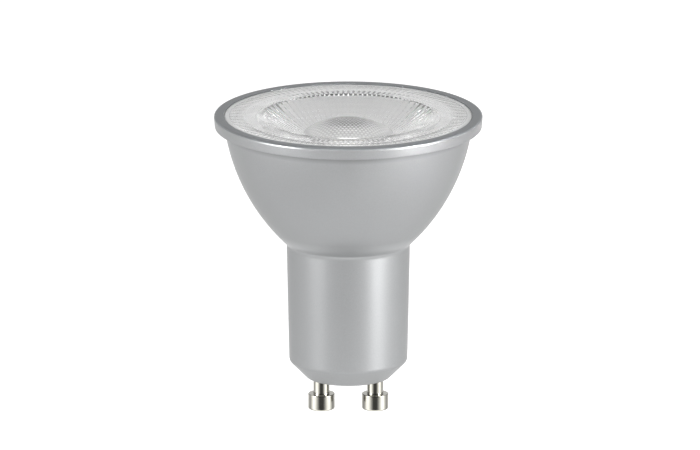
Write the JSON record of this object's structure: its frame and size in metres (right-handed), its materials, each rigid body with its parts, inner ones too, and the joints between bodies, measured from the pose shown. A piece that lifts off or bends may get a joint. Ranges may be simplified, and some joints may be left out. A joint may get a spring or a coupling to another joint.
{
  "type": "spotlight bulb",
  "caption": "Twin-pin twist-lock spotlight bulb: silver moulded bowl and neck, ribbed clear lens with a domed centre, nickel contact pins, driver inside.",
  "frame": {"origin": "midway between the two contact pins, at the level of their tips", "axes": "+Z along the bulb's axis towards the lens; the two pins lie on X; the driver board's plane is along X and Z, on the +Y side"},
  "size_m": [0.05, 0.05, 0.0565],
  "materials": {
    "silver_housing": "silver-grey moulded plastic, satin gloss",
    "nickel_pin": "bright nickel plate",
    "clear_lens": "clear, polished, with fine ribs and a faceted centre",
    "pressed_aluminium": "pressed, plain",
    "grey_pad": "soft, matte",
    "white_board": "white solder mask on metal core",
    "white_silicone": "matte",
    "yellow_phosphor": "smooth",
    "screw_steel": "zinc plated",
    "green_board": "green solder mask",
    "fuse_ceramic": "lacquered",
    "blue_coating": "dipped coating",
    "film_case": "moulded",
    "can_sleeve": "shrunk sleeve",
    "ferrite": "matte",
    "copper_winding": "enamelled copper",
    "black_epoxy": "moulded",
    "resistor_ceramic": "glazed",
    "capacitor_ceramic": "sintered",
    "white_insulation": "smooth",
    "black_insulation": "smooth",
    "red_insulation": "smooth"
  },
  "bodies": {
    "root": {"housing": "silver_housing", "contact_pin_left": "nickel_pin", "contact_pin_right": "nickel_pin", "lens": "clear_lens", "heat_sink_cup": "pressed_aluminium", "thermal_pad": "grey_pad", "led_board": "white_board", "emitter_dam": "white_silicone", "emitter_phosphor": "yellow_phosphor", "board_screws": "screw_steel", "driver_board": "green_board", "fuse_resistor": "fuse_ceramic", "surge_varistor": "blue_coating", "film_capacitor": "film_case", "bulk_capacitor": "can_sleeve", "inductor_core": "ferrite", "inductor_winding": "copper_winding", "driver_chip": "black_epoxy", "bridge_rectifier": "black_epoxy", "output_diode": "black_epoxy", "chip_resistors": "resistor_ceramic", "chip_capacitors": "capacitor_ceramic", "lead_wire_left": "white_insulation", "lead_wire_right": "white_insulation", "feed_wire_negative": "black_insulation", "feed_wire_positive": "red_insulation"}
  },
  "joints": []
}
